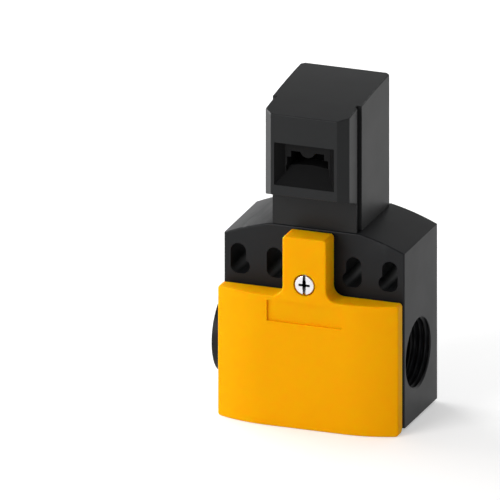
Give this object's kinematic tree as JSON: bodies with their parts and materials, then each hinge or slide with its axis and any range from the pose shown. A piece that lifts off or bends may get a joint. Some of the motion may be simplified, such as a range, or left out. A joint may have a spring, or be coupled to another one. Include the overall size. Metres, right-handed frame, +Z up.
{
  "type": "tongue interlock switch",
  "caption": "Compact guard switch: plastic enclosure with a hinged cover, slotted fixings and cable entries, and a rotatable head with a keyed entry for a tongue.",
  "frame": {"origin": "centre of the enclosure's bottom face", "axes": "+X to the right of someone who faces the cover, +Y to the back, out of the face that is screwed to the machine, +Z up towards the head"},
  "size_m": [0.0533, 0.0332, 0.0896],
  "materials": {
    "black_plastic": "fine moulded grain, satin",
    "head_plastic": "fine moulded grain, satin",
    "dark_plastic": "smooth, dull",
    "yellow_plastic": "fine moulded grain, satin",
    "grey_plastic": "smooth, dull",
    "white_plastic": "smooth, satin",
    "black_rubber": "dull",
    "bright_steel": "bright nickel plating",
    "spring_steel": "drawn wire",
    "cast_zinc": "die cast, matt",
    "brass": "turned",
    "contact_brass": "stamped strip"
  },
  "bodies": {
    "enclosure": {"enclosure": "black_plastic", "screw_insert": "brass", "blanking_plug": "black_plastic", "plug_seal": "black_rubber", "head_seal": "black_rubber", "plunger_bush": "brass", "plunger_seal": "black_rubber", "block_base": "grey_plastic", "block_front": "grey_plastic", "block_screws": "bright_steel", "carrier_spring": "spring_steel", "terminal_screws": "bright_steel", "terminal_clamps": "bright_steel", "fixed_contact_lower_left": "contact_brass", "fixed_contact_lower_right": "contact_brass", "fixed_contact_middle_left": "contact_brass", "fixed_contact_middle_right": "contact_brass", "fixed_contact_upper_left": "contact_brass", "fixed_contact_upper_right": "contact_brass"},
    "cover": {"cover": "yellow_plastic", "cover_gasket": "black_rubber"},
    "screw_ring": {"screw_ring": "white_plastic"},
    "cover_screw": {"cover_screw": "bright_steel"},
    "head": {"head_housing": "head_plastic", "head_front": "head_plastic", "entry_guide": "dark_plastic", "head_screws": "bright_steel", "rotor_axle": "bright_steel", "latch_spring": "spring_steel", "plunger_spring": "spring_steel"},
    "head_lock": {"head_lock": "dark_plastic"},
    "cam_rotor": {"cam_rotor": "dark_plastic"},
    "latch": {"retaining_latch": "cast_zinc"},
    "plunger": {"plunger": "bright_steel"},
    "contact_carrier": {"contact_carrier": "white_plastic", "bridge_lower": "contact_brass", "bridge_middle": "contact_brass", "bridge_upper": "contact_brass", "contact_spring_lower": "spring_steel", "contact_spring_middle": "spring_steel", "contact_spring_upper": "spring_steel"}
  },
  "joints": [
    {"name": "cover_hinge", "type": "hinge", "parent": "enclosure", "child": "cover", "pos_m": [0, -0.0165, 0.00145], "axis": [1, 0, 0], "range_deg": [0, 90]},
    {"name": "screw_travel", "type": "slide", "parent": "cover", "child": "screw_ring", "axis": [0, -1, 0], "range_m": [0, 0.0021]},
    {"name": "screw_turn", "type": "hinge", "parent": "screw_ring", "child": "cover_screw", "pos_m": [0, -0.015, 0.0393], "axis": [0, -1, 0], "range_deg": [0, 1083]},
    {"name": "head_turn", "type": "hinge", "parent": "enclosure", "child": "head", "pos_m": [0, 0, 0.05], "axis": [0, 0, 1], "range_deg": [-180, 180]},
    {"name": "head_lock_slide", "type": "slide", "parent": "enclosure", "child": "head_lock", "axis": [0, -1, 0], "range_m": [0, 0.002]},
    {"name": "cam_turn", "type": "hinge", "parent": "head", "child": "cam_rotor", "pos_m": [0, 0, 0.0655], "axis": [-1, 0, 0], "range_deg": [0, 60]},
    {"name": "latch_slide", "type": "slide", "parent": "head", "child": "latch", "axis": [0, 0, 1], "range_m": [0, 0.0016], "deforming": ["latch_spring"]},
    {"name": "plunger_slide", "type": "slide", "parent": "enclosure", "child": "plunger", "axis": [0, 0, 1], "range_m": [0, 0.0031], "deforming": ["plunger_spring"]},
    {"name": "carrier_slide", "type": "slide", "parent": "enclosure", "child": "contact_carrier", "axis": [0, 0, 1], "range_m": [0, 0.0031], "deforming": ["carrier_spring"]}
  ],
  "couplings": [
    {"joint": "screw_turn", "follows": "screw_travel", "rad_per_m": 8976},
    {"joint": "plunger_slide", "follows": "cam_turn", "m_per_rad": 0.0028648},
    {"joint": "carrier_slide", "follows": "cam_turn", "m_per_rad": 0.0028648},
    {"joint": "latch_slide", "follows": "cam_turn", "m_per_rad": 0.0014324}
  ]
}
